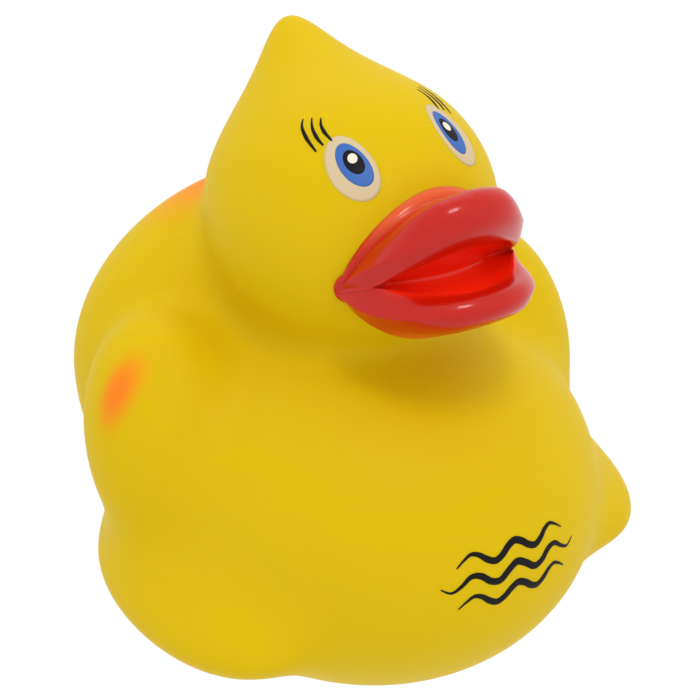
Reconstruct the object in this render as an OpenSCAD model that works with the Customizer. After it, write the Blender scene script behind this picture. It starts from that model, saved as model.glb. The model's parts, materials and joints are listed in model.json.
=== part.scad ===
// Floating chlorine dispenser in the shape of a toy duck.
// A hollow vinyl duck carries a sealed well in its belly. The well holds a
// keyed cage of tablets, closed from below by a screw cap whose turning dial
// sets how much water reaches the tablets.
// The origin is the centre of the resting face, +Z is up, the duck faces -Y.

/* [Duck] */
// Overall height of the duck, from the resting face to the tuft
duck_h = 146.7; // [143.5:0.2:155.5]
// Thickness of the vinyl skin
skin_t = 2; // [1.6:0.1:2.4]
// Angle that the head tips back, so that the beak points up
head_tilt = 24; // [20:1:28]
// Number of flats around the skin
skin_sides = 60; // [48:4:64]

/* [Tablets] */
// Diameter of one tablet
tablet_d = 25.4; // [24:0.2:25.4]
// Thickness of one tablet
tablet_h = 14; // [12:0.5:14]

/* [Well and cage] */
// Inside diameter of the well
well_d = 31.2; // [31:0.1:31.6]
// Gap between the cage and the well, all round
cage_gap = 0.6; // [0.4:0.1:0.8]
// Wall of the cage
cage_t = 1.5; // [1.2:0.1:1.6]

/* [Base] */
// Diameter of the flange that the duck stands on
flange_d = 59; // [57:0.5:60]
// Thickness of that flange
flange_t = 3; // [2.8:0.1:3.2]
// Number of screws around the flange
screw_count = 6; // [4:2:8]

/* [Cap] */
// Advance of the cap's thread in one turn
thread_lead = 5; // [4.6:0.1:5.4]
// Number of water windows in the dial and in the cap
window_count = 4; // [3:1:4]
// Angle that one window spans
window_angle = 38; // [30:1:40]

/* [Hidden] */
$fn = 96;
over = 0.5;                     // how far a cutting tool runs past the face it cuts

// Duck's body, as rounded lumps blended into each other. Each lump is an
// ellipsoid: a centre, three half-sizes, and how far its top leans backwards.
size = duck_h / 146.7;          // every duck size below is for a 146.7 mm duck
belly = [[0, -5, 40], [56, 62, 46], 0];
tail = [[0, 31, 60.5], [54.5, 35.5, 44.5], 0];
head = [[0, -2, 108.5], [32.5, 36, 31.5], 0];
tuft = [[0, 15, 129.5], [7.5, 7.5, 19], 30];
wing = [[45.5, 2, 64], [19.5, 20, 26], 18];
flare = [[47.5, -11.5, 28], [20, 35, 14], 0];
tail_blend = 16;                // widths over which one lump flows into the next
tuft_blend = 18;
neck_blend = 9;
wing_blend = 8;
flare_blend = 13;
edge_blend = 2;

// Stack of parts at the base, from the ground up
gasket_t = 1;
skin_z = flange_t + gasket_t;   // underside of the skin's flat base
clamp_z = skin_z + skin_t;
clamp_t = 4;
mouth_r = 23.5;                 // hole in the skin, round the mouth of the well
mouth_wall_r = 23;              // outside of the well's mouth
foot_r = 29.4;                  // the skin's base is flat out to here
mouth_h = 13.5;                 // height of the threaded mouth
screw_circle_r = 26.5;
screw_turn = 30;                // first screw's place on the circle

// Well, cage and tablets
well_r = well_d / 2;
well_t = 2.8;
cage_r = well_r - cage_gap;
cage_bore_r = cage_r - cage_t;
grid_z = 10;                    // underside of the grid that carries the tablets
grid_t = 1.6;
tablet_z = grid_z + grid_t + 0.1;
stack_h = 3 * tablet_h;
cage_top = tablet_z + stack_h + 1.2;
cage_foot = 6.6;                // the cage stands on the cap's floor
well_roof = cage_top + 1.8;
key_w = 3;
key_r = well_r + 1;             // outer face of the cage's two keys
key_gap = 0.3;
key_z = mouth_h + 0.6;

// Cap, thread and dial
cap_face = 1;                   // the cap stays this far above the ground
cap_head_r = 21;
cap_head_t = 2.6;
seat_r = 21.4;                  // recess in the flange that takes the cap's head
seat_h = 4.4;
cap_floor_z = 4.2;
cap_floor_t = 2.2;
cap_core_r = 18;
cap_bore_r = 15.8;
cap_top = 13;
male_crest_r = 19.2;
female_crest_r = 18.3;
mouth_bore_r = 19.5;
ring_r = 20.1;                  // middle of the cap's O-ring
ring_wire_r = 0.8;
dial_r = 13.6;
dial_t = 3;
dial_web = 1.2;
hub_r = 4.6;
hub_top = 9.2;
window_in_r = 6.6;
window_out_r = 12.6;
pivot_r = 2;
pivot_head_r = 4;
pivot_head_t = 1.2;
pocket_r = 4.5;
pivot_gap = 0.05;
washer_t = 0.3;

// ---------------------------------------------------------------- duck shape

// Signed distance, near enough, from a point to an ellipsoid lump
function lump(p, e) =
    let (q = p / size - e[0],
         l = [q.x, q.y * cos(e[2]) - q.z * sin(e[2]), q.y * sin(e[2]) + q.z * cos(e[2])],
         u = [l.x / e[1].x, l.y / e[1].y, l.z / e[1].z],
         w = [u.x / e[1].x, u.y / e[1].y, u.z / e[1].z],
         k = norm(u))
    size * k * (k - 1) / max(norm(w), 1e-9);

// Smaller of two distances, rounded off over the width k where they meet
function blend(a, b, k) =
    let (h = min(max(0.5 + 0.5 * (b - a) / k, 0), 1))
    b * (1 - h) + a * h - k * h * (1 - h);

// Distance from a point to the duck's surface, negative inside
function duck(p) =
    let (m = [abs(p.x), p.y, p.z],
         trunk = blend(lump(m, belly), lump(m, tail), tail_blend),
         skull = blend(lump(m, head), lump(m, tuft), tuft_blend),
         whole = blend(trunk, skull, neck_blend),
         winged = blend(whole, lump(m, wing), wing_blend),
         flared = blend(winged, lump(m, flare), flare_blend))
    -blend(-flared, p.z - skin_z, edge_blend);

// Distance along a ray from c in the direction d to where the field f equals
// the level, by halving the span that holds it
function reach(c, d, level, near, far, steps) =
    steps == 0 ? (near + far) / 2
    : let (mid = (near + far) / 2)
      duck(c + d * mid) < level ? reach(c, d, level, mid, far, steps - 1)
                                : reach(c, d, level, near, mid, steps - 1);

// Direction part way from a to b along the arc between them
function swing(a, b, t) =
    let (u = a / norm(a), v = b / norm(b), w = acos(min(max(u * v, -1), 1)))
    (sin((1 - t) * w) * u + sin(t * w) * v) / sin(w);

low_hub = [0, 0, 28];           // rays that draw the body start between these two
high_hub = [0, 0, 62];
neck_hub = [0, 0, 98];          // and the neck ring lies in a plane through this one
neck_slope = 0.34;
head_hub = [0, -1, 108];        // rays that draw the head start here
crest = [0, 0.62, 0.8];         // and end at the tuft
search = 16;                    // halvings in each search
body_reach = 110;
head_reach = 70;

// Neck ring: the surface cut by a plane that rises towards the tail
function neck_point(turn, level) =
    let (flat = [cos(turn), sin(turn), neck_slope * sin(turn)], d = flat / norm(flat))
    neck_hub * size + d * reach(neck_hub * size, d, level, 0, head_reach, search);

// One row of the body, t running from the edge of the flat base (0) to the
// neck ring (1)
function body_row(t, level, z, neck) = [
    for (i = [0:skin_sides - 1])
        let (turn = i * 360 / skin_sides,
             tip = neck[i] - high_hub * size,
             first = atan(foot_r / (low_hub.z * size - z)),
             last = atan2(norm([tip.x, tip.y]), -tip.z),
             lean = first + (last - first) * t,
             start = size * (low_hub + (high_hub - low_hub) * t * t * (3 - 2 * t)),
             d = [cos(turn) * sin(lean), sin(turn) * sin(lean), -cos(lean)])
        start + d * reach(start, d, level, 0, body_reach, search)];

// One row of the head, t running from the neck ring (0) to the tuft (1)
function head_row(t, level, neck) = [
    for (p = neck)
        let (d = swing(p - head_hub * size, crest, t))
        head_hub * size + d * reach(head_hub * size, d, level, 0, head_reach, search)];

function mouth_row(z) = [
    for (i = [0:skin_sides - 1]) [mouth_r * cos(i * 360 / skin_sides),
                                  mouth_r * sin(i * 360 / skin_sides), z]];

// All rows of one surface of the skin, from the mouth to just below the tuft
function skin_rows(level, z, body_rows, head_rows) =
    let (neck = [for (i = [0:skin_sides - 1]) neck_point(i * 360 / skin_sides, level)])
    concat([mouth_row(z)],
           [for (j = [0:body_rows - 1]) body_row(j / body_rows, level, z, neck)],
           [neck],
           [for (j = [1:head_rows - 1]) head_row(j / head_rows, level, neck)]);

function tuft_point(level) =
    let (d = crest / norm(crest))
    head_hub * size + d * reach(head_hub * size, d, level, 0, head_reach, search);

function flat_list(rows) = [for (r = rows) each r];

function middle(row) = [for (p = row) 1] * row / len(row);

// Two triangles for each cell between rows of n points; flip turns them over
function net(row_count, n, from, flip) = [
    for (j = [0:row_count - 2], i = [0:n - 1])
        let (k = (i + 1) % n,
             a = from + j * n + i, b = from + j * n + k,
             c = from + (j + 1) * n + k, d = from + (j + 1) * n + i)
        each flip ? [[a, b, c], [a, c, d]] : [[a, c, b], [a, d, c]]];

module duck_skin() {
    outer = skin_rows(0, skin_z, 30, 18);
    inner = skin_rows(-skin_t, skin_z + skin_t, 18, 11);
    n = skin_sides;
    outer_n = len(outer) * n;
    inner_n = len(inner) * n;
    points = concat(flat_list(outer), flat_list(inner), [tuft_point(0), tuft_point(-skin_t)]);
    top = outer_n + inner_n;
    rim = [for (i = [0:n - 1]) let (k = (i + 1) % n)
           each [[i, k, outer_n + k], [i, outer_n + k, outer_n + i]]];
    outer_cap = [for (i = [0:n - 1]) [outer_n - n + (i + 1) % n, outer_n - n + i, top]];
    inner_cap = [for (i = [0:n - 1]) [top - n + i, top - n + (i + 1) % n, top + 1]];
    faces = concat(net(len(outer), n, 0, false), net(len(inner), n, outer_n, true),
                   rim, outer_cap, inner_cap);
    color([0.9, 0.76, 0.1])
    difference() {
        polyhedron(points, faces, convexity = 8);
        screw_places() translate([0, 0, skin_z - over])
            cylinder(r = 1.7, h = skin_t + 2 * over, $fn = 24);
    }
}

// ---------------------------------------------------------------------- beak

// The beak is drawn about the head's centre in axes that tip back with the
// head: reach outwards from the centre, and height above it.
mouth_line = -15.8;             // height of the mouth's corners
beak_angle = 44;                // how far round the head the beak runs
corner_reach = 31;
// Profile at the middle of the beak, from the top of its root over the upper
// lip into the mouth, and over the lower lip to the throat. Each point is its
// reach, its height, how far round that height lasts, and how far it stands
// off the head at least.
beak_profile = [[33, 0.6, 44, 0.3], [36.5, -1.4, 44, 0.8], [40, -2, 44, 1.2],
                [45, -0.6, 44, 1.6], [49.5, -0.6, 44, 1.9], [52, -3.6, 44, 2.1],
                [51.4, -7.6, 44, 2], [47.5, -10.2, 36, 1.6], [42, -11, 36, 0.9],
                [35, -16.5, 36, 0.4], [38.5, -20.8, 36, 0.9], [43, -22.6, 36, 1.3],
                [46.8, -22, 36, 1.6], [49.8, -22.6, 44, 2], [50.8, -25, 44, 2.1],
                [49, -27.8, 44, 1.6], [43.5, -29.2, 44, 0.9], [33, -29.3, 44, 0.3]];
root_heights = [-29.3, -25, -20.5, -15.8, -11, -5.5, 0.6];
root_gap = 0.1;
least = 0.08;                   // share of a height that is never lost
beak_end = 0.14;                // and the share left at the beak's blunt ends
beak_steps = 26;

function tipped(side, ahead, height) =
    size * (head[0] + [side, -ahead * cos(head_tilt) + height * sin(head_tilt),
                       ahead * sin(head_tilt) + height * cos(head_tilt)]);

// Share of a reach or a height that is left at an angle round the head
function fade(turn, last, power) =
    pow(max(cos(90 * min(abs(turn) / last, 1)), last == beak_angle ? beak_end : least), power);

// Height, at an angle, of a point whose height at the middle is h
function beak_height(turn, h, last) =
    mouth_line + (h - mouth_line) * (h > mouth_line || last < beak_angle - 1
                                     ? fade(turn, last, 1.2)
                                     : max(1 - pow(abs(turn) / last, 3), beak_end));

// Reach of the head itself at an angle and a height
function head_reach_at(turn, h) =
    let (start = tipped(0, 0, h), d = (tipped(sin(turn), cos(turn), h) - start) / size)
    reach(start, d, root_gap, 0, head_reach, search) / size;

function lip_point(turn, p) =
    let (h = beak_height(turn, p[1], p[2]),
         r = corner_reach + (p[0] - corner_reach) * fade(turn, beak_angle, 1.2),
         s = max(r, head_reach_at(turn, h) + p[3]))
    tipped(s * sin(turn), s * cos(turn), h);

// A point of the beak's back, which follows the head a little outside it
function root_point(turn, height) =
    let (h = beak_height(turn, height, beak_angle), s = head_reach_at(turn, h))
    tipped(s * sin(turn), s * cos(turn), h);

// Smooth curve through a row of points, k steps between neighbours
function curve(row, k) = concat(
    [for (i = [0:len(row) - 2], j = [0:k - 1])
        let (t = j / k, a = row[max(i - 1, 0)], b = row[i], c = row[i + 1],
             d = row[min(i + 2, len(row) - 1)])
        (2 * b + (c - a) * t + (2 * a - 5 * b + 4 * c - d) * t * t
         + (3 * b - a - 3 * c + d) * t * t * t) / 2],
    [row[len(row) - 1]]);

module beak() {
    turns = [for (i = [0:beak_steps]) beak_angle * 0.985 * (2 * i / beak_steps - 1)];
    profile = curve(beak_profile, 2);
    rows = [for (t = turns) concat([for (p = profile) lip_point(t, p)],
                                   [for (h = root_heights) root_point(t, h)])];
    n = len(rows[0]);
    last = beak_steps * n;
    points = concat(flat_list(rows), [middle(rows[0]), middle(rows[beak_steps])]);
    ends = [for (i = [0:n - 1]) let (k = (i + 1) % n)
            each [[i, k, len(points) - 2], [last + k, last + i, len(points) - 1]]];
    color([0.84, 0.18, 0.12])
    polyhedron(points, concat(net(beak_steps + 1, n, 0, false), ends), convexity = 6);
}

// ---------------------------------------------------------------- base parts

module screw_places() {
    for (i = [0:screw_count - 1])
        rotate([0, 0, screw_turn + i * 360 / screw_count])
            translate([screw_circle_r, 0, 0]) children();
}

// Ring with a square section
module ring(inner, outer, z, h) {
    translate([0, 0, z])
    difference() {
        cylinder(r = outer, h = h);
        translate([0, 0, -over]) cylinder(r = inner, h = h + 2 * over);
    }
}

// Ridge of a thread: four corners carried round a helix. side is 1 for a ridge
// that stands out from a core and -1 for one that stands in from a bore.
module thread_ridge(root, crest_r, z, turns, side) {
    steps = round(turns * 32);
    fade = 4;                   // steps over which the ridge grows and dies
    half_root = 0.9;
    half_crest = 0.45;
    rows = [for (i = [0:steps])
        let (a = i * 360 / 32,
             grow = min(1, (i + 1) / fade, (steps - i + 1) / fade),
             r0 = root - side * 0.3,
             r1 = root + (crest_r - root) * grow,
             up = z + thread_lead * i / 32)
        [for (c = [[r0, -half_root], [r1, -half_crest], [r1, half_crest], [r0, half_root]])
            [c[0] * cos(a), c[0] * sin(a), up + c[1]]]];
    all = flat_list(rows);
    last = steps * 4;
    turned = side > 0;
    sides = [for (j = [0:steps - 1], i = [0:3])
        let (k = (i + 1) % 4, a = 4 * j + i, b = 4 * j + k, c = b + 4, d = a + 4)
        each turned ? [[a, b, c], [a, c, d]] : [[a, c, b], [a, d, c]]];
    caps = turned ? [[3, 2, 1], [3, 1, 0], [last, last + 1, last + 2], [last, last + 2, last + 3]]
                  : [[0, 1, 2], [0, 2, 3], [last + 3, last + 2, last + 1], [last + 3, last + 1, last]];
    polyhedron(all, concat(sides, caps), convexity = 6);
}

thread_z = 6.2;                 // where the cap's ridge starts
thread_play = 0.25;             // gap on the loaded side of the thread
ridge_w = 1.35;                 // mean width of a ridge

module well_housing() {
    color([0.93, 0.93, 0.9]) {
        difference() {
            union() {
                cylinder(d = flange_d, h = flange_t);
                cylinder(r = mouth_wall_r, h = mouth_h + 2);
                cylinder(r = well_r + well_t, h = well_roof + 2);
            }
            translate([0, 0, -over]) cylinder(r = seat_r, h = seat_h + over);
            translate([0, 0, seat_h - over]) cylinder(r = mouth_bore_r, h = mouth_h - seat_h + over);
            translate([0, 0, mouth_h - over]) cylinder(r = well_r, h = well_roof - mouth_h + over);
            for (turn = [0, 180])
                rotate([0, 0, turn])
                translate([0, -key_w / 2 - key_gap, mouth_h - over])
                    cube([key_r + key_gap, key_w + 2 * key_gap, well_roof - mouth_h + over]);
            screw_places() {
                translate([0, 0, -over]) cylinder(r = 1.6, h = flange_t + 2 * over, $fn = 32);
                translate([0, 0, -over]) cylinder(r = 2.8, h = 1.8 + over, $fn = 32);
            }
        }
        rotate([0, 0, 90])
        thread_ridge(mouth_bore_r, female_crest_r,
                     thread_z + thread_lead / 4 - ridge_w - thread_play, 1.15, -1);
    }
}

module flange_gasket() {
    color([0.2, 0.2, 0.21])
    difference() {
        ring(mouth_wall_r + 0.05, foot_r - 0.4, flange_t, gasket_t);
        screw_places() translate([0, 0, flange_t - over])
            cylinder(r = 1.6, h = gasket_t + 2 * over, $fn = 32);
    }
}

module clamp_ring() {
    color([0.86, 0.86, 0.83])
    difference() {
        ring(mouth_wall_r + 0.1, foot_r - 0.4, clamp_z, clamp_t);
        screw_places() translate([0, 0, clamp_z - over])
            cylinder(r = 1.5, h = clamp_t + 2 * over, $fn = 32);
    }
}

// Pan-head screws from below, with a cross recess cut in each head
module flange_screws() {
    color([0.72, 0.73, 0.75])
    screw_places() {
        difference() {
            translate([0, 0, 0.3]) cylinder(r = 2.6, h = 1.5, $fn = 32);
            for (turn = [0, 90])
                rotate([0, 0, turn]) translate([-1.5, -0.3, 0]) cube([3, 0.6, 1]);
        }
        translate([0, 0, 1.7]) cylinder(r = 1.5, h = clamp_z + clamp_t - 1.7 + 0.6, $fn = 32);
    }
}

// Steel ring that keeps the duck upright in the water
module ballast_ring() {
    color([0.55, 0.56, 0.58])
    translate([0, 0, clamp_z + clamp_t + 0.7])
    rotate_extrude()
        polygon([[19.2, 6.2], [26.5, 6.2], [27.5, 5.2], [27.5, 0], [23.2, 0], [23.2, 5], [19.2, 5]]);
}

// ----------------------------------------------------------------- cartridge

module tablet_cage() {
    slot_rows = 4;
    slot_pitch = 10.4;
    color([0.2, 0.45, 0.75])
    difference() {
        union() {
            ring(cage_bore_r, cage_r, cage_foot, cage_top - cage_foot);
            ring(cage_bore_r - 0.8, cage_r, cage_foot + 1.2, grid_z - cage_foot - 1.2);
            for (turn = [0, 180])
                rotate([0, 0, turn])
                translate([cage_r - 0.5, -key_w / 2, key_z])
                    cube([key_r - cage_r + 0.5, key_w, cage_top - key_z]);
        }
        for (j = [0:slot_rows - 1], turn = [45:90:359])
            rotate([0, 0, turn])
            translate([cage_bore_r - 2, -3.5, tablet_z + 1.5 + j * slot_pitch])
                cube([6, 7, 6]);
        for (turn = [0:60:359])
            rotate([0, 0, turn + 30])
            translate([cage_bore_r - 3, -2, cage_foot - over])
                cube([8, 4, 2 + over]);
    }
}

module tablet_grid() {
    color([0.9, 0.92, 0.94])
    translate([0, 0, grid_z])
    difference() {
        cylinder(r = cage_bore_r - 0.03, h = grid_t);
        translate([0, 0, -over]) cylinder(r = 1.6, h = grid_t + 2 * over, $fn = 24);
        for (ring_no = [1, 2], i = [0:5 * ring_no])
            rotate([0, 0, i * 360 / (5 * ring_no + 1)])
            translate([4.9 * ring_no, 0, -over])
                cylinder(r = 1.6, h = grid_t + 2 * over, $fn = 24);
    }
}

// Pressed tablet with bevelled edges
module tablet(place) {
    bevel = 1.2;
    r = tablet_d / 2;
    color([0.95, 0.95, 0.91])
    translate([0, 0, tablet_z + place * tablet_h])
    rotate_extrude()
        polygon([[0, 0], [r - bevel, 0], [r, bevel], [r, tablet_h - bevel - 0.05],
                 [r - bevel, tablet_h - 0.05], [0, tablet_h - 0.05]]);
}

// ----------------------------------------------------------------------- cap

// Windows through a disc: sectors of a ring, evenly spaced
module windows(z, h) {
    for (i = [0:window_count - 1])
        rotate([0, 0, i * 360 / window_count - window_angle / 2])
        translate([0, 0, z])
        rotate_extrude(angle = window_angle)
            translate([window_in_r, 0]) square([window_out_r - window_in_r, h]);
}

module base_cap() {
    grips = 12;
    color([0.16, 0.38, 0.66]) {
        difference() {
            union() {
                ring(dial_r + 0.5, cap_head_r, cap_face, cap_head_t);
                ring(cap_bore_r, cap_core_r, cap_face + 1, cap_top - cap_face - 1);
                ring(dial_r + 0.5, cap_core_r - 1, cap_face, cap_floor_z - cap_face);
            }
            translate([0, 0, cap_face + cap_head_t - ring_wire_r])
                ring(ring_r - ring_wire_r, ring_r + ring_wire_r, 0, ring_wire_r + over);
            for (i = [0:grips - 1])
                rotate([0, 0, (i + 0.5) * 360 / grips])
                translate([cap_head_r - 2.6, 0, cap_face - over])
                    cylinder(r = 1.3, h = 1.4 + over, $fn = 24);
        }
        thread_ridge(cap_core_r, male_crest_r, thread_z, 1.1, 1);
    }
}

// Disc with the fixed water windows, pressed into the cap against its ledge
module valve_plate() {
    color([0.92, 0.93, 0.94])
    difference() {
        union() {
            translate([0, 0, cap_floor_z]) cylinder(r = cap_bore_r - 0.02, h = cap_floor_t);
            translate([0, 0, cap_floor_z]) cylinder(r = hub_r, h = hub_top - cap_floor_z);
        }
        windows(cap_floor_z - over, cap_floor_t + 2 * over);
        translate([0, 0, cap_floor_z - over])
            cylinder(r = pivot_r, h = hub_top - cap_floor_z + 2 * over, $fn = 48);
    }
}

module cap_o_ring() {
    color([0.12, 0.12, 0.12])
    translate([0, 0, cap_face + cap_head_t])
    rotate_extrude()
        translate([ring_r, 0]) circle(r = ring_wire_r - 0.02, $fn = 32);
}

module flow_dial() {
    color([0.92, 0.93, 0.94])
    difference() {
        union() {
            translate([0, 0, cap_face]) cylinder(r = dial_r, h = dial_t);
            for (i = [0:window_count - 1])
                rotate([0, 0, (i + 0.5) * 360 / window_count])
                translate([6.4, -0.9, cap_face - 0.6]) cube([5.8, 1.8, 1]);
        }
        windows(cap_face - over, dial_t + 2 * over);
        translate([0, 0, cap_face - over]) cylinder(r = pocket_r, h = dial_t - dial_web + over);
        translate([0, 0, cap_face - over]) cylinder(r = pivot_r + pivot_gap, h = dial_t + 2 * over, $fn = 48);
    }
}

module pivot_screw() {
    head_z = cap_face - 0.4;
    color([0.72, 0.73, 0.75])
    difference() {
        union() {
            translate([0, 0, head_z]) cylinder(r = pivot_head_r, h = pivot_head_t, $fn = 64);
            translate([0, 0, head_z + 1]) cylinder(r = pivot_r, h = hub_top - head_z - 1.6, $fn = 48);
        }
        for (turn = [0, 90])
            rotate([0, 0, turn]) translate([-2, -0.4, head_z - over]) cube([4, 0.8, 0.7 + over]);
    }
}

// Springy washer with three waves, swept round the pivot
module wave_washer() {
    steps = 48;
    waves = 3;
    low = cap_face - 0.4 + pivot_head_t + 0.05;
    high = cap_face + dial_t - dial_web - washer_t - 0.05;
    mean = (low + high) / 2;
    swell = (high - low) / 2;
    rows = [for (i = [0:steps - 1])
        let (a = i * 360 / steps, z = mean + swell * cos(waves * a))
        [for (c = [[2.3, 0], [4.1, 0], [4.1, washer_t], [2.3, washer_t]])
            [c[0] * cos(a), c[0] * sin(a), z + c[1]]]];
    n = steps * 4;
    faces = [for (j = [0:steps - 1], i = [0:3])
        let (k = (i + 1) % 4, a = 4 * j + i, b = 4 * j + k, c = (b + 4) % n, d = (a + 4) % n)
        each [[a, b, c], [a, c, d]]];
    color([0.78, 0.79, 0.8]) polyhedron(flat_list(rows), faces, convexity = 4);
}

duck_skin();
beak();
well_housing();
flange_gasket();
clamp_ring();
flange_screws();
ballast_ring();
tablet_cage();
tablet_grid();
tablet(0);  // tablet_1
tablet(1);  // tablet_2
tablet(2);  // tablet_3
base_cap();
valve_plate();
cap_o_ring();
flow_dial();
pivot_screw();
wave_washer();
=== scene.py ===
"""Looks of a floating chlorine dispenser shaped like a toy duck: a soft vinyl
duck with painted eyes, beak and waves, over the working parts in its belly.
All lengths are millimetres until they reach Blender, which takes metres."""
import json

import bpy
import numpy as np
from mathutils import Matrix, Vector


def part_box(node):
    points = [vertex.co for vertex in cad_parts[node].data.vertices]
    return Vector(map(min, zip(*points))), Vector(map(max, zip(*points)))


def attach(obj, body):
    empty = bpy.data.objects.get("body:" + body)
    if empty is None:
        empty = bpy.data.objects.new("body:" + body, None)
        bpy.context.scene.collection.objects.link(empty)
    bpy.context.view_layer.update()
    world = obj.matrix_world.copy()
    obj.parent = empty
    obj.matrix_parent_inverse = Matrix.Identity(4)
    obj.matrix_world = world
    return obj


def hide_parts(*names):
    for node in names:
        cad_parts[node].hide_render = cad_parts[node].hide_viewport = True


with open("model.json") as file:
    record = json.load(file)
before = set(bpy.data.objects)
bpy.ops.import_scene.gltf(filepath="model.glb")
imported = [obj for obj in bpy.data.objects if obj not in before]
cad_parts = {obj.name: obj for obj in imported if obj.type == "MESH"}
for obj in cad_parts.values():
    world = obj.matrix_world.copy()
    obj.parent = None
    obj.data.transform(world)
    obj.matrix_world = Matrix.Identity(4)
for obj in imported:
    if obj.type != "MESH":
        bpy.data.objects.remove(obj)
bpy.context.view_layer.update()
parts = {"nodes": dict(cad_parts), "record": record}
nodes = parts["nodes"]
MM = 0.001

# ------------------------------------------------------------------ duck shape
DUCK_H = 146.7
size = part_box("duck_skin")[1].z * 1000 / DUCK_H
# Rounded lumps: centre, half-sizes, and how far the top leans backwards in degrees
BELLY = ((0, -5, 40), (56, 62, 46), 0)
TAIL = ((0, 31, 62.5), (54.5, 35.5, 44.5), 0)
HEAD = ((0, -2, 108.5), (32.5, 36, 31.5), 0)
TUFT = ((0, 15, 129.5), (7.5, 7.5, 19), 30)
WING = ((46, 2.5, 59), (19.5, 20, 31), 18)
FLARE = ((48, -11.5, 28), (18.5, 35, 12), 0)
TRUNK_BLEND = 16
TUFT_BLEND = 18
NECK_BLEND = 9
WING_BLEND = 8
FLARE_BLEND = 13
EDGE_BLEND = 2
BASE_Z = 4        # height of the flat base
SKIN = 2          # wall
MOUTH_R = 23.5    # hole in the base
FOOT_R = 29.4     # the base is flat out to here
TILT = np.radians(24)   # the head and beak tip back by this
FACE_R = 31.6     # radius that turns millimetres round the face into an angle
HEAD_FAR = 70     # longer than any ray inside the head
BODY_FAR = 110    # longer than any ray inside the body
SUNK = -0.2       # how far the back of a film of paint lies under the surface
head_centre = size * np.array(HEAD[0], float)
SIDE = np.array([1.0, 0, 0])
AHEAD = np.array([0, -np.cos(TILT), np.sin(TILT)])
ABOVE = np.array([0, np.sin(TILT), np.cos(TILT)])


def lump(p, shape):
    """Distance to an ellipsoid, near enough: k(k - 1)/|u/a| with u = q/a, k = |u|."""
    centre, half, lean = shape
    c, s = np.cos(np.radians(lean)), np.sin(np.radians(lean))
    q = p / size - np.array(centre, float)
    q = np.stack([q[..., 0], q[..., 1] * c - q[..., 2] * s, q[..., 1] * s + q[..., 2] * c], -1)
    u = q / np.array(half, float)
    k = np.linalg.norm(u, axis=-1)
    return size * k * (k - 1) / np.maximum(np.linalg.norm(u / np.array(half, float), axis=-1), 1e-9)


def blend(a, b, k):
    """Smaller of two distances, rounded off over the width k where they meet."""
    h = np.clip(0.5 + 0.5 * (b - a) / k, 0, 1)
    return b * (1 - h) + a * h - k * h * (1 - h)


def duck(p):
    """Distance from points to the duck's surface, negative inside."""
    m = np.concatenate([np.abs(p[..., :1]), p[..., 1:]], -1)
    trunk = blend(lump(m, BELLY), lump(m, TAIL), TRUNK_BLEND)
    skull = blend(lump(m, HEAD), lump(m, TUFT), TUFT_BLEND)
    whole = blend(trunk, skull, NECK_BLEND)
    whole = blend(whole, lump(m, WING), WING_BLEND)
    whole = blend(whole, lump(m, FLARE), FLARE_BLEND)
    return -blend(-whole, p[..., 2] - BASE_Z, EDGE_BLEND)


def reach(start, d, level, far):
    """Distance along the rays start + t d to where the surface's level is met, by halving."""
    near = np.zeros(np.broadcast_shapes(start.shape, d.shape)[:-1])
    far = np.full_like(near, float(far))
    for _ in range(24):
        mid = (near + far) / 2
        inside = duck(start + d * mid[..., None]) < level
        near = np.where(inside, mid, near)
        far = np.where(inside, far, mid)
    return (near + far) / 2


def unit(v):
    """Vectors brought to length 1."""
    return v / np.maximum(np.linalg.norm(v, axis=-1, keepdims=True), 1e-12)


def normal(p):
    """Outward direction of the duck's surface at points, from differences of the distance."""
    steps = np.eye(3) * 0.3
    return unit(np.stack([duck(p + e) - duck(p - e) for e in steps], -1))


def smooth(x, low, high):
    """0 below low, 1 above high, t t (3 - 2 t) between."""
    t = np.clip((x - low) / (high - low), 0, 1)
    return t * t * (3 - 2 * t)


# ------------------------------------------------------------------ mesh making
def solid(name, rows, body, poles=None, flat=False):
    """Closed mesh from rows of points, each row a loop, with a fan over each end row."""
    m, n = rows.shape[:2]
    first, last = poles if poles is not None else (rows[0].mean(0), rows[-1].mean(0))
    points = np.concatenate([rows.reshape(-1, 3), [first, last]])
    i = np.arange(m * n).reshape(m, n)
    k = np.roll(i, -1, 1)
    quads = np.stack([i[:-1], k[:-1], k[1:], i[1:]], -1).reshape(-1, 4)
    fans = np.concatenate([np.stack([k[0], i[0], np.full(n, m * n)], -1),
                           np.stack([i[-1], k[-1], np.full(n, m * n + 1)], -1)])
    a, b, c, d = (points[quads[:, j]] for j in range(4))
    volume = (np.cross(b, c) * a).sum() + (np.cross(c, d) * a).sum()
    if volume < 0:
        quads, fans = quads[:, ::-1], fans[:, ::-1]
    mesh = bpy.data.meshes.new(name)
    mesh.vertices.add(len(points))
    mesh.vertices.foreach_set("co", (points * MM).ravel())
    loops = np.concatenate([quads.ravel(), fans.ravel()])
    counts = np.concatenate([np.full(len(quads), 4), np.full(len(fans), 3)])
    mesh.loops.add(len(loops))
    mesh.loops.foreach_set("vertex_index", loops)
    mesh.polygons.add(len(counts))
    mesh.polygons.foreach_set("loop_start", np.concatenate([[0], np.cumsum(counts)[:-1]]))
    mesh.polygons.foreach_set("use_smooth", np.full(len(counts), not flat))
    mesh.update(calc_edges=True)
    obj = bpy.data.objects.new(name, mesh)
    bpy.context.scene.collection.objects.link(obj)
    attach(obj, body)
    return obj, points


def mark(obj, name, values):
    """Stores one number for each point of a mesh, for its material to read."""
    attribute = obj.data.attributes.new(name, "FLOAT", "POINT")
    attribute.data.foreach_set("value", np.asarray(values, np.float32))


def turned(n):
    """n angles spaced evenly round a circle."""
    return np.arange(n) * 2 * np.pi / n


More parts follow.
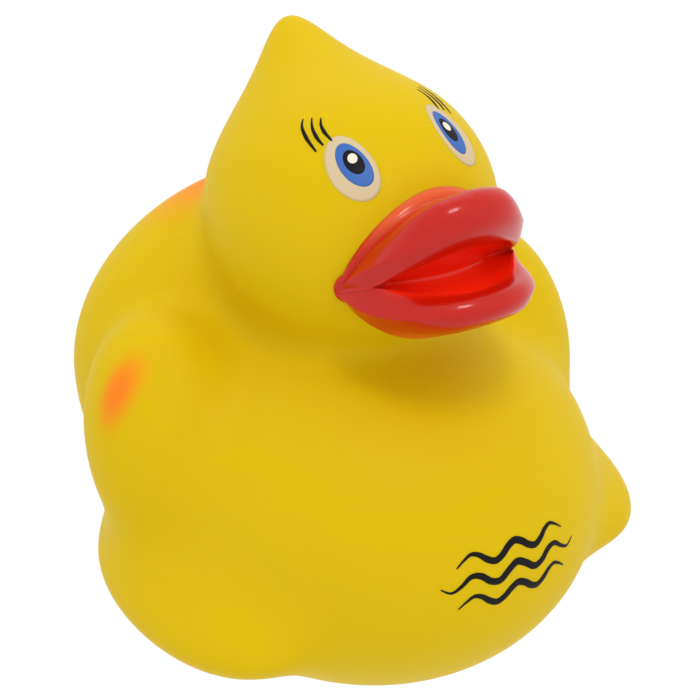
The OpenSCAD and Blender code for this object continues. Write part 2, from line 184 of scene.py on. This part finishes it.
# ------------------------------------------------------------------------- skin
LOW_HUB = size * np.array([0, 0, 28.0])
HIGH_HUB = size * np.array([0, 0, 62.0])
NECK_HUB = size * np.array([0, 0, 98.0])
HEAD_HUB = size * np.array([0, -1, 108.0])
CREST = unit(np.array([0, 0.62, 0.8]))   # from the head's hub to the top of the tuft
NECK_SLOPE = 0.34                        # the neck ring rises towards the back


def skin_rows(level, z, around, body_rows, head_rows):
    """Rows up one surface of the skin: the hole, the body up to the neck, the head.

    Body: p = hub(t) + r d with d = (cos a sin w, sin a sin w, -cos w), w running
    from the base's edge to the neck. Head: the rays swing from the neck to the tuft."""
    a = turned(around)
    ring = np.stack([np.cos(a), np.sin(a), 0 * a], -1)
    d = unit(ring + np.array([0, 0, NECK_SLOPE]) * np.sin(a)[:, None])
    neck = NECK_HUB + d * reach(NECK_HUB, d, level, HEAD_FAR)[:, None]
    tip = neck - HIGH_HUB
    t = np.linspace(0, 1, body_rows, endpoint=False)[:, None]
    first = np.arctan(FOOT_R / (LOW_HUB[2] - z))
    last = np.arctan2(np.hypot(tip[:, 0], tip[:, 1]), -tip[:, 2])
    w = first + (last - first) * t
    d = ring * np.sin(w)[..., None] - np.array([0, 0, 1.0]) * np.cos(w)[..., None]
    hub = LOW_HUB + (HIGH_HUB - LOW_HUB) * (t * t * (3 - 2 * t))[..., None]
    body = hub + d * reach(hub, d, level, BODY_FAR)[..., None]
    u = unit(neck - HEAD_HUB)
    w = np.arccos(np.clip(u @ CREST, -1, 1))
    t = np.linspace(0, 1, head_rows + 1, endpoint=False)[1:, None]
    d = (np.sin((1 - t) * w)[..., None] * u + np.sin(t * w)[..., None] * CREST) / np.sin(w)[:, None]
    head = HEAD_HUB + d * reach(HEAD_HUB, d, level, HEAD_FAR)[..., None]
    mouth = MOUTH_R * ring + np.array([0, 0, z])
    top = HEAD_HUB + CREST * reach(HEAD_HUB, CREST[None], level, HEAD_FAR)
    return np.concatenate([[mouth], body, [neck], head]), top


def spot(p, centre, radii):
    """Airbrushed spot: 1 at its centre, fading out by its radii along x, y and z."""
    q = (p - size * np.array(centre, float)) / np.array(radii, float)
    return 1 - smooth(np.linalg.norm(q, axis=-1), 0.15, 1)


AROUND_SKIN = 256
outer, top = skin_rows(0, BASE_Z, AROUND_SKIN, 170, 90)
inner, inner_top = skin_rows(-SKIN, BASE_Z + SKIN, AROUND_SKIN, 30, 16)
skin, points = solid("vinyl_duck", np.concatenate([outer[::-1], inner]), "duck",
                     poles=(top, inner_top))
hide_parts("duck_skin")
# In hollows the distance grows by less than the step taken off the surface; there the skin is
# painted a deeper yellow, as shade
STEP = 9
growth = duck(points + STEP * normal(points)) - duck(points)
mark(skin, "hollow", np.clip((growth - STEP) / -STEP, 0, 1))
mark(skin, "tint", spot(points, (-62, -0.5, 79), (14, 6.5, 14))
     + spot(points, (62, 7, 76), (14, 7, 13))
     + spot(points, (0, 39, 104), (44, 22, 17)))

# ------------------------------------------------------------------------- beak
MOUTH_LINE = -15.8    # height of the line the lips meet on
BEAK_ANGLE = 44       # the beak reaches this far round the head, in degrees
CORNER = 31           # reach of its corners
MOUTH_END = 30        # the mouth is shut beyond this angle
BLUNT_FROM = 36       # and the corner is rounded off from here
ROOT_SUNK = -0.25     # the beak's back lies this far inside the head
ROOT_GAP = 0.35       # and its front clears it by at least this
CLOSED_LIPS = 1.6     # stand-off of the lips where they are joined
JOINING = (22, 30)    # angles over which the lips join
FLATTENING = (8, 30)  # and over which they flatten
LEAST_LIP = 0.22      # least share of a lip's height
LEAST_MOUTH = 0.06    # and of the mouth's
# Middle of the beak, from the top of its root over the lips to the throat:
# reach, height, how far round that height lasts, least stand-off
BEAK = np.array([
    (33, 1.2, 44, 0.0), (34.6, 0.1, 44, 0.9), (36.5, -1.2, 44, 1.3), (40, -2, 44, 1.6),
    (45, -0.6, 44, 2.0), (49.5, -0.6, 44, 2.3), (52, -3.6, 44, 2.5), (51.4, -8, 44, 2.5),
    (47.5, -11.6, 30, 1.6), (42, -12.6, 30, 0.9), (35, -16.5, 30, 0.4),
    (37.5, -20.4, 30, 0.9), (41.5, -21.8, 30, 1.3), (45, -21.2, 30, 1.6),
    (49.2, -21.8, 44, 2.4), (50.6, -24.6, 44, 2.5), (48.6, -27.4, 44, 2.2),
    (43.5, -28.8, 44, 1.4), (38, -29.4, 44, 0.9), (33, -29.9, 44, 0.0)], float)
UPPER_EDGE, LOWER_EDGE = 7, 15    # points of the profile at the lips' edges
MOUTH_TOP, MOUTH_FLOOR = 8, 13    # and just inside the mouth
PER_POINT = 6                     # columns of the mesh for each point


def curve(row, k):
    """Smooth curve through a row of points (Catmull-Rom), k steps between neighbours."""
    n = len(row) - 1
    s = np.arange(n * k + 1) / k
    i = np.minimum(s.astype(int), n - 1)
    t = (s - i)[:, None]
    a, b, c, d = (row[np.clip(i + j, 0, n)] for j in (-1, 0, 1, 2))
    return (2 * b + (c - a) * t + (2 * a - 5 * b + 4 * c - d) * t ** 2
            + (3 * b - a - 3 * c + d) * t ** 3) / 2


def on_head(turn, height, lift):
    """Points on the head at an angle round it and a height in its tipped axes, lifted off it."""
    start = head_centre + size * height[..., None] * ABOVE
    d = np.sin(turn)[..., None] * SIDE + np.cos(turn)[..., None] * AHEAD
    return start + d * reach(start, d, lift, HEAD_FAR)[..., None]


def beak_rows(around, k):
    """One loop for each angle round the head: the profile, then back along the head.

    x is |turn| over how far round a height lasts. Heights of the outside shrink
    to the corner by 1 - x^1.9 above the mouth and 1 - x^3 below it, and those of
    the mouth by cos(90 x)^1.2, all with a small least share. The last 8 degrees
    are rounded off by a circle. Away from the middle each lip flattens into a
    plain slope from root to edge."""
    profile = curve(BEAK, k)
    n = len(profile)
    # angles close up towards the corners, and stop just short of them
    turn = BEAK_ANGLE * np.sin(np.linspace(-1, 1, around) * np.pi / 2 * 0.985)[:, None]
    back = np.linspace(BEAK[-1, 1], BEAK[0, 1], 18)[1:-1]
    height = np.concatenate([profile[:, 1], back])
    last = np.concatenate([profile[:, 2], np.full(len(back), float(BEAK_ANGLE))])
    within = np.clip((BEAK_ANGLE - last) / (BEAK_ANGLE - MOUTH_END), 0, 1)
    x = np.minimum(np.abs(turn) / last, 1)
    mouth = np.maximum(np.cos(np.pi / 2 * x) ** 1.2, LEAST_MOUTH)
    arc = np.maximum(1 - x ** 1.9, LEAST_LIP) * (1 - within) + mouth * within
    low = np.maximum(1 - x ** 3, LEAST_LIP) * (1 - within) + mouth * within
    past = np.maximum(np.abs(turn) - BLUNT_FROM, 0) / (BEAK_ANGLE - BLUNT_FROM + 0.02)
    end = np.sqrt(np.clip(1 - past ** 2, 0, 1))
    share = np.where(height > MOUTH_LINE, arc, low) * end
    h = MOUTH_LINE + (height - MOUTH_LINE) * share
    full = np.cos(np.pi / 2 * np.abs(turn) / BEAK_ANGLE) ** 1.2
    r = size * (CORNER + (profile[:, 0] - CORNER) * full)
    flat = smooth(np.abs(turn), *FLATTENING)
    for first, stop in ((0, UPPER_EDGE * k), (LOWER_EDGE * k, n - 1)):
        s = np.linspace(0, 1, stop - first + 1)
        for v in (h, r):
            slope = v[:, first:first + 1] * (1 - s) + v[:, stop:stop + 1] * s
            v[:, first:stop + 1] += (slope - v[:, first:stop + 1]) * flat
    a = np.radians(turn) + 0 * h
    base = on_head(a, h, ROOT_SUNK)
    d = np.sin(a)[..., None] * SIDE + np.cos(a)[..., None] * AHEAD
    start = head_centre + size * h[..., None] * ABOVE
    skin_reach = np.linalg.norm(base - start, axis=-1)[:, :n]
    closed = smooth(np.abs(turn), *JOINING) * np.clip(within[:n] * 1.3, 0, 1)
    top_edge, floor_edge = MOUTH_TOP * k, MOUTH_FLOOR * k
    lips = (r[:, top_edge:top_edge + 1] + r[:, floor_edge:floor_edge + 1]) / 2
    r = r + (lips - r) * closed
    stand = profile[:, 3]
    stand = np.minimum(stand, CLOSED_LIPS + (stand - CLOSED_LIPS) * (1 - flat))
    r = np.maximum(r, skin_reach + (stand + (CLOSED_LIPS - stand) * closed) * end + ROOT_GAP)
    front = start[:, :n] + d[:, :n] * r[..., None]
    return np.concatenate([front, base[:, n:]], 1)


rows = beak_rows(121, PER_POINT)
beak, points = solid("painted_beak", rows, "duck")
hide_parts("beak")
q = (points - head_centre) / size
turn = np.abs(np.degrees(np.arctan2(q @ SIDE, q @ AHEAD)))
column = np.concatenate([np.tile(np.arange(rows.shape[1]), len(rows)), [0, 0]])
place = column / PER_POINT
# painted light: the inside of the mouth gets a brighter red, as if lit, though it lies in the lips'
# shade
lit_mouth_share = smooth(place, MOUTH_TOP, 9.2) * (1 - smooth(place, 12.6, 13.6))
mark(beak, "inside", lit_mouth_share * (1 - smooth(turn, 22, 28)))
# painted shade: a darker red band under the upper lip and over the mouth's roof
mark(beak, "roof_shade", smooth(place, 7.4, 9) * (1 - smooth(place, 9.6, 10.6)))
at_root = np.clip((1 - smooth(place, 1.0, 3.6)) + smooth(place, 16.6, 18.6), 0, 1)
mark(beak, "tint", 0.8 * at_root * (1 - smooth(turn, 16, 34)))


# ------------------------------------------------------------------ painted face
def disc(name, side, turn, height, half, lean, lift, colour):
    """Round film of paint on the head: an ellipse of half-sizes half, leaning outwards.

    Its points are rho (half0 cos a, half1 sin a), put round and up the head."""
    front, behind = 14, 5
    a = turned(72)
    rho = np.concatenate([np.linspace(0.08, 1, front), np.linspace(1, 0.2, behind)])[:, None]
    u = half[0] * rho * np.cos(a)
    v = half[1] * rho * np.sin(a)
    c, s = np.cos(np.radians(lean)), np.sin(np.radians(lean))
    u, v = u * c + v * s, v * c - u * s
    lifts = np.concatenate([np.full(front, lift), np.full(behind, SUNK)])[:, None]
    lifts = lifts - 0.03 * smooth(rho, 0.93, 1.0)
    angle = side * (np.radians(turn) + u / FACE_R)
    h = height + v
    start = head_centre + size * h[..., None] * ABOVE
    d = np.sin(angle)[..., None] * SIDE + np.cos(angle)[..., None] * AHEAD
    r = reach(start, d, 0, HEAD_FAR) + lifts
    obj, _ = solid(name, start + d * r[..., None], "duck")
    obj.data.materials.append(colour)


def stroke(name, path, widths, lift, colour, where):
    """Tapered brush stroke put onto the skin by where(): path + x width / 2 across it."""
    across_points = 5
    line = curve(np.array(path, float), 8)
    width = np.interp(np.linspace(0, 1, len(line)), np.linspace(0, 1, len(widths)), widths)
    across = unit(np.gradient(line, axis=0)[:, ::-1] * np.array([-1, 1.0]))
    x = np.linspace(-1, 1, across_points)
    x = np.concatenate([x, x[::-1]])
    high = np.repeat([lift, SUNK], across_points)
    flat = line[:, None] + across[:, None] * (x[None, :, None] * width[:, None, None] / 2)
    obj, _ = solid(name, where(flat, high), "duck")
    obj.data.materials.append(colour)


def face_point(side):
    """Puts (mm round the head, mm up) onto one side of the face."""
    def put(flat, high):
        angle = side * flat[..., 0] / FACE_R
        start = head_centre + size * flat[..., 1, None] * ABOVE
        d = np.sin(angle)[..., None] * SIDE + np.cos(angle)[..., None] * AHEAD
        return start + d * (reach(start, d, 0, HEAD_FAR) + high)[..., None]
    return put


def chest_point(flat, high):
    """Puts (mm sideways, mm up) onto the front of the chest."""
    start = np.stack([flat[..., 0] * 0.4, 0 * flat[..., 0] - 5, 40 + 0 * flat[..., 1]], -1)
    aim = np.stack([flat[..., 0], 0 * flat[..., 0] - 66, flat[..., 1]], -1)
    d = unit(aim - start)
    return start + d * (reach(start, d, 0, BODY_FAR) + high)[..., None]


# -------------------------------------------------------------------- materials
class Value:
    """A number, colour or vector inside a material. Arithmetic on it adds nodes."""

    def __init__(self, paint, socket):
        self.paint, self.socket = paint, socket

    def math(self, operation, *others):
        return self.paint.node("ShaderNodeMath", {"operation": operation}, *((self,) + others))

    def __add__(self, other):
        return self.math("ADD", other)

    def __sub__(self, other):
        return self.math("SUBTRACT", other)

    def __rsub__(self, other):
        return (self * -1) + other

    def __mul__(self, other):
        return self.math("MULTIPLY", other)

    __radd__ = __add__
    __rmul__ = __mul__

    def clamp(self):
        return self.math("MAXIMUM", 0.0).math("MINIMUM", 1.0)


class Paint:
    """A material. Constants go straight on its shader, and varying values are linked to it."""

    def __init__(self, name, **fixed):
        self.material = bpy.data.materials.new(name)
        self.material.use_nodes = True
        self.tree = self.material.node_tree
        self.shader = self.tree.nodes["Principled BSDF"]
        self.set(**fixed)

    def set(self, **values):
        for name, value in values.items():
            self.put(self.shader.inputs[name.replace("_", " ")], value)

    def put(self, socket, value):
        if isinstance(value, Value):
            self.tree.links.new(value.socket, socket)
        elif socket.type == "RGBA" and len(value) == 3:
            socket.default_value = (*value, 1)
        else:
            socket.default_value = value

    def node(self, kind, settings, *inputs, output=0, **named):
        made = self.tree.nodes.new(kind)
        for name, value in settings.items():
            setattr(made, name, value)
        for i, value in enumerate(inputs):
            self.put(made.inputs[i], value)
        for name, value in named.items():
            self.put(made.inputs[name.replace("_", " ")], value)
        return Value(self, made.outputs[output])

    def mix(self, factor, a, b):
        """Colour a where factor is 0, colour b where it is 1."""
        made = self.tree.nodes.new("ShaderNodeMix")
        made.data_type = "RGBA"
        self.put(made.inputs["Factor"], factor)
        self.put(made.inputs[6], a)
        self.put(made.inputs[7], b)
        return Value(self, made.outputs[2])

    def stored(self, name):
        return self.node("ShaderNodeAttribute", {"attribute_name": name}, output=2)

    def noise(self, per_mm, detail=2.0):
        place = self.node("ShaderNodeTexCoord", {}, output=3)
        return self.node("ShaderNodeTexNoise", {}, Vector=place,
                         Scale=per_mm * 1000, Detail=detail)

    def bump(self, height, depth_mm, strength=0.5):
        return self.node("ShaderNodeBump", {}, Strength=strength,
                         Distance=depth_mm * MM, Height=height)


def plain(name, colour, roughness, grain=2.0, depth=0.02, **more):
    """Moulded or turned material with a fine grain in its surface."""
    paint = Paint(name, Base_Color=colour, **more)
    n = paint.noise(grain)
    paint.set(Roughness=(n - 0.5) * 0.12 + roughness, Normal=paint.bump(n, depth))
    return paint.material


YELLOW = (0.66, 0.45, 0.002)
# a deeper yellow, painted as shade in the skin's hollows and also used for random mottling
SHADE_AND_MOTTLE_YELLOW = (0.66, 0.42, 0.001)
ORANGE = (0.92, 0.2, 0.015)
BEAK_ORANGE = (0.8, 0.11, 0.012)
RED = (0.5, 0.006, 0.001)
# a brighter red, painted as light inside the mouth
LIT_MOUTH_RED = (0.96, 0.022, 0.002)
# a darker red, painted as shade under the upper lip
ROOF_SHADE_RED = (0.7, 0.008, 0.0)

vinyl = Paint("yellow_vinyl", Subsurface_Weight=0.3, Subsurface_Radius=(1, 0.55, 0.08),
              Subsurface_Scale=0.004, IOR=1.4, Specular_IOR_Level=0.1)
patchy = vinyl.noise(0.035, 1.0)
# painted shade: hollows are mixed towards the deeper yellow, with random mottling on top
shade_and_mottle = (vinyl.stored("hollow") * 0.25 + (patchy - 0.5) * 0.2).clamp()
base = vinyl.mix(shade_and_mottle, YELLOW, SHADE_AND_MOTTLE_YELLOW)
vinyl.set(Base_Color=vinyl.mix((vinyl.stored("tint") * 0.95).clamp(), base, ORANGE),
          Roughness=(patchy - 0.5) * 0.1 + 0.52, Normal=vinyl.bump(vinyl.noise(1.2), 0.02, 0.25))
skin.data.materials.append(vinyl.material)

gloss = Paint("red_paint", IOR=1.5, Subsurface_Weight=0.25, Subsurface_Radius=(1, 0.15, 0.05),
              Subsurface_Scale=0.004, Specular_IOR_Level=0.12,
              Coat_Weight=0.45, Coat_Roughness=0.14)
# painted light: a brighter red over the inside of the mouth
colour = gloss.mix(gloss.stored("inside"), RED, LIT_MOUTH_RED)
# painted shade: half way towards a darker red under the upper lip
colour = gloss.mix(gloss.stored("roof_shade") * 0.5, colour, ROOF_SHADE_RED)
gloss.set(Base_Color=gloss.mix(gloss.stored("tint"), colour, BEAK_ORANGE),
          Roughness=(gloss.noise(0.08) - 0.5) * 0.08 + 0.3,
          Normal=gloss.bump(gloss.noise(0.5), 0.03, 0.2))
beak.data.materials.append(gloss.material)

white_paint = plain("eye_white", (0.6, 0.47, 0.28), 0.5, Specular_IOR_Level=0.15)
blue_paint = plain("eye_blue", (0.045, 0.13, 0.42), 0.4, Specular_IOR_Level=0.15)
black_paint = plain("eye_black", (0.004, 0.004, 0.006), 0.45, Specular_IOR_Level=0.12)
glint_paint = plain("eye_glint", (0.78, 0.72, 0.6), 0.4, Specular_IOR_Level=0.15)
line_paint = plain("line_paint", (0.006, 0.005, 0.005), 0.5, Specular_IOR_Level=0.12)

LASHES = (((24.4, 21.4), (24.7, 19.8), (23.7, 17.5), (21.5, 14.0)),
          ((21.8, 21.2), (21.9, 19.3), (21.1, 17.1), (19.7, 15.0)),
          ((19.2, 20.8), (19.5, 19.4), (19.0, 17.8), (17.5, 15.5)))
LASH_WIDTHS = (0.3, 0.75, 0.95, 0.4)
WAVE_WIDTHS = (0.3, 1.5, 1.7, 1.5, 0.3)
# side of the head, angle round it, height, lean, and how far that eye's lashes are moved
for side, word, turn, up, lean, move in ((-1, "right", 25.6, 9.6, 20, (0, 0)),
                                         (1, "left", 21.8, 11.6, -4, (-2.5, 1.5))):
    disc(f"eye_white_{word}", side, turn + 1.2, up - 0.6, (4.9, 7.5), lean, 0.05, white_paint)
    disc(f"iris_{word}", side, turn, up, (3, 5.2), lean + 4, 0.09, blue_paint)
    disc(f"pupil_{word}", side, turn - 0.2, up + 0.6, (1.9, 2.8), lean + 4, 0.13, black_paint)
    disc(f"glint_{word}", side, turn - 0.1, up + 1.4, (1.05, 1.05), 0, 0.17, glint_paint)
    put = face_point(side)
    for i, path in enumerate(LASHES):
        stroke(f"lash_{word}_{i + 1}", np.array(path) + move, LASH_WIDTHS, 0.07, line_paint, put)

for i, (z, half) in enumerate(((51, 15), (46, 19), (41, 15))):
    x = np.linspace(-half, half, 17)
    wave = np.stack([x + 1.5, z + 1.5 * np.cos(x * np.pi / 5.5)], -1)
    stroke(f"wave_{i + 1}", wave, WAVE_WIDTHS, 0.06, line_paint, chest_point)

finishes = {
    "white_plastic": plain("white_plastic", (0.78, 0.79, 0.77), 0.42, Specular_IOR_Level=0.45),
    "inner_plastic": plain("inner_plastic", (0.7, 0.71, 0.67), 0.48),
    "blue_plastic": plain("blue_plastic", (0.03, 0.16, 0.42), 0.38),
    "black_rubber": plain("black_rubber", (0.02, 0.02, 0.022), 0.6),
    "stainless": plain("stainless", (0.62, 0.63, 0.64), 0.28, Metallic=1.0),
    "ballast_steel": plain("ballast_steel", (0.42, 0.43, 0.45), 0.42, Metallic=1.0),
    "pressed_tablet": plain("pressed_tablet", (0.86, 0.86, 0.82), 0.8, 1.5, 0.08),
}
slots = {s["node"]: s["material_slot"] for s in parts["record"]["subparts"]}
for name, node in nodes.items():
    if slots[name] in finishes:
        node.data.materials.clear()
        node.data.materials.append(finishes[slots[name]])

# --------------------------------------------------------------- marks on the base
raised = plain("mark_paint", (0.85, 0.86, 0.85), 0.45)


def bar(name, body, radius, angle, length, width, z, colour):
    """Thin raised bar under the base, its length along a radius at an angle.

    Its outline is (cos a, sin a), each pulled out by a power, times half its size."""
    a = np.radians(angle)
    along = np.array([np.cos(a), np.sin(a), 0])
    side = np.array([-np.sin(a), np.cos(a), 0])
    corner = turned(24)
    squared = 0.4
    ring = np.stack([np.sign(np.cos(corner)) * np.abs(np.cos(corner)) ** squared * length / 2,
                     np.sign(np.sin(corner)) * np.abs(np.sin(corner)) ** squared * width / 2], -1)
    flat = along * (radius + ring[:, :1]) + side * ring[:, 1:]
    rows = np.stack([flat + np.array([0, 0, h]) for h in (z + 0.1, z - 0.12, z - 0.18)])
    rows[2] = rows[2] * 0.9 + rows[2].mean(0) * 0.1     # bevelled face
    obj, _ = solid(name, rows, body, flat=True)
    obj.data.materials.append(colour)


CAP_FACE_Z, DIAL_RIB_Z = 1, 0.4
for i in range(4):
    bar(f"cap_scale_{i + 1}", "cap", 15.9, 45 - i * 15, 1.2 + 0.9 * i, 1.0, CAP_FACE_Z, raised)
bar("dial_pointer", "dial", 10.6, 45, 3.2, 0.7, DIAL_RIB_Z, line_paint)

# ----------------------------------------------------------------- camera and light
DISTANCE, AROUND, UP = 413, np.radians(33), np.radians(27.5)
away = np.array([-np.sin(AROUND) * np.cos(UP), -np.cos(AROUND) * np.cos(UP), np.sin(UP)])
aim = np.array([0, 0, 72.0])
camera = bpy.data.objects.new("camera", bpy.data.cameras.new("camera"))
bpy.context.scene.collection.objects.link(camera)
bpy.context.scene.camera = camera
camera.location = Vector((aim + DISTANCE * away) * MM)
camera.rotation_euler = Vector(-away).to_track_quat("-Z", "Y").to_euler()
camera.data.sensor_width = 36
camera.data.lens = 89.2
camera.data.shift_x = 0.0063
camera.data.shift_y = -0.0076
camera.data.clip_start = 0.01


def lamp(name, turn, rise, distance, width, power):
    """Soft square light aimed at the duck, turn measured from the camera's side."""
    a, e = AROUND + np.radians(turn), np.radians(rise)
    d = np.array([-np.sin(a) * np.cos(e), -np.cos(a) * np.cos(e), np.sin(e)])
    light = bpy.data.lights.new(name, "AREA")
    light.size = width
    light.energy = power
    obj = bpy.data.objects.new(name, light)
    bpy.context.scene.collection.objects.link(obj)
    obj.location = Vector(aim * MM + d * distance)
    obj.rotation_euler = Vector(-d).to_track_quat("-Z", "Y").to_euler()


lamp("key", -14, 62, 0.9, 0.2, 1.7)
lamp("fill", -50, 25, 1.0, 0.8, 0.25)
lamp("back", 170, 60, 0.9, 0.6, 0.6)

world = bpy.data.worlds.new("studio")
bpy.context.scene.world = world
world.use_nodes = True
background = world.node_tree.nodes["Background"]
background.inputs["Color"].default_value = (1, 1, 1, 1)
background.inputs["Strength"].default_value = 1.0
bpy.context.scene.view_settings.view_transform = "Standard"
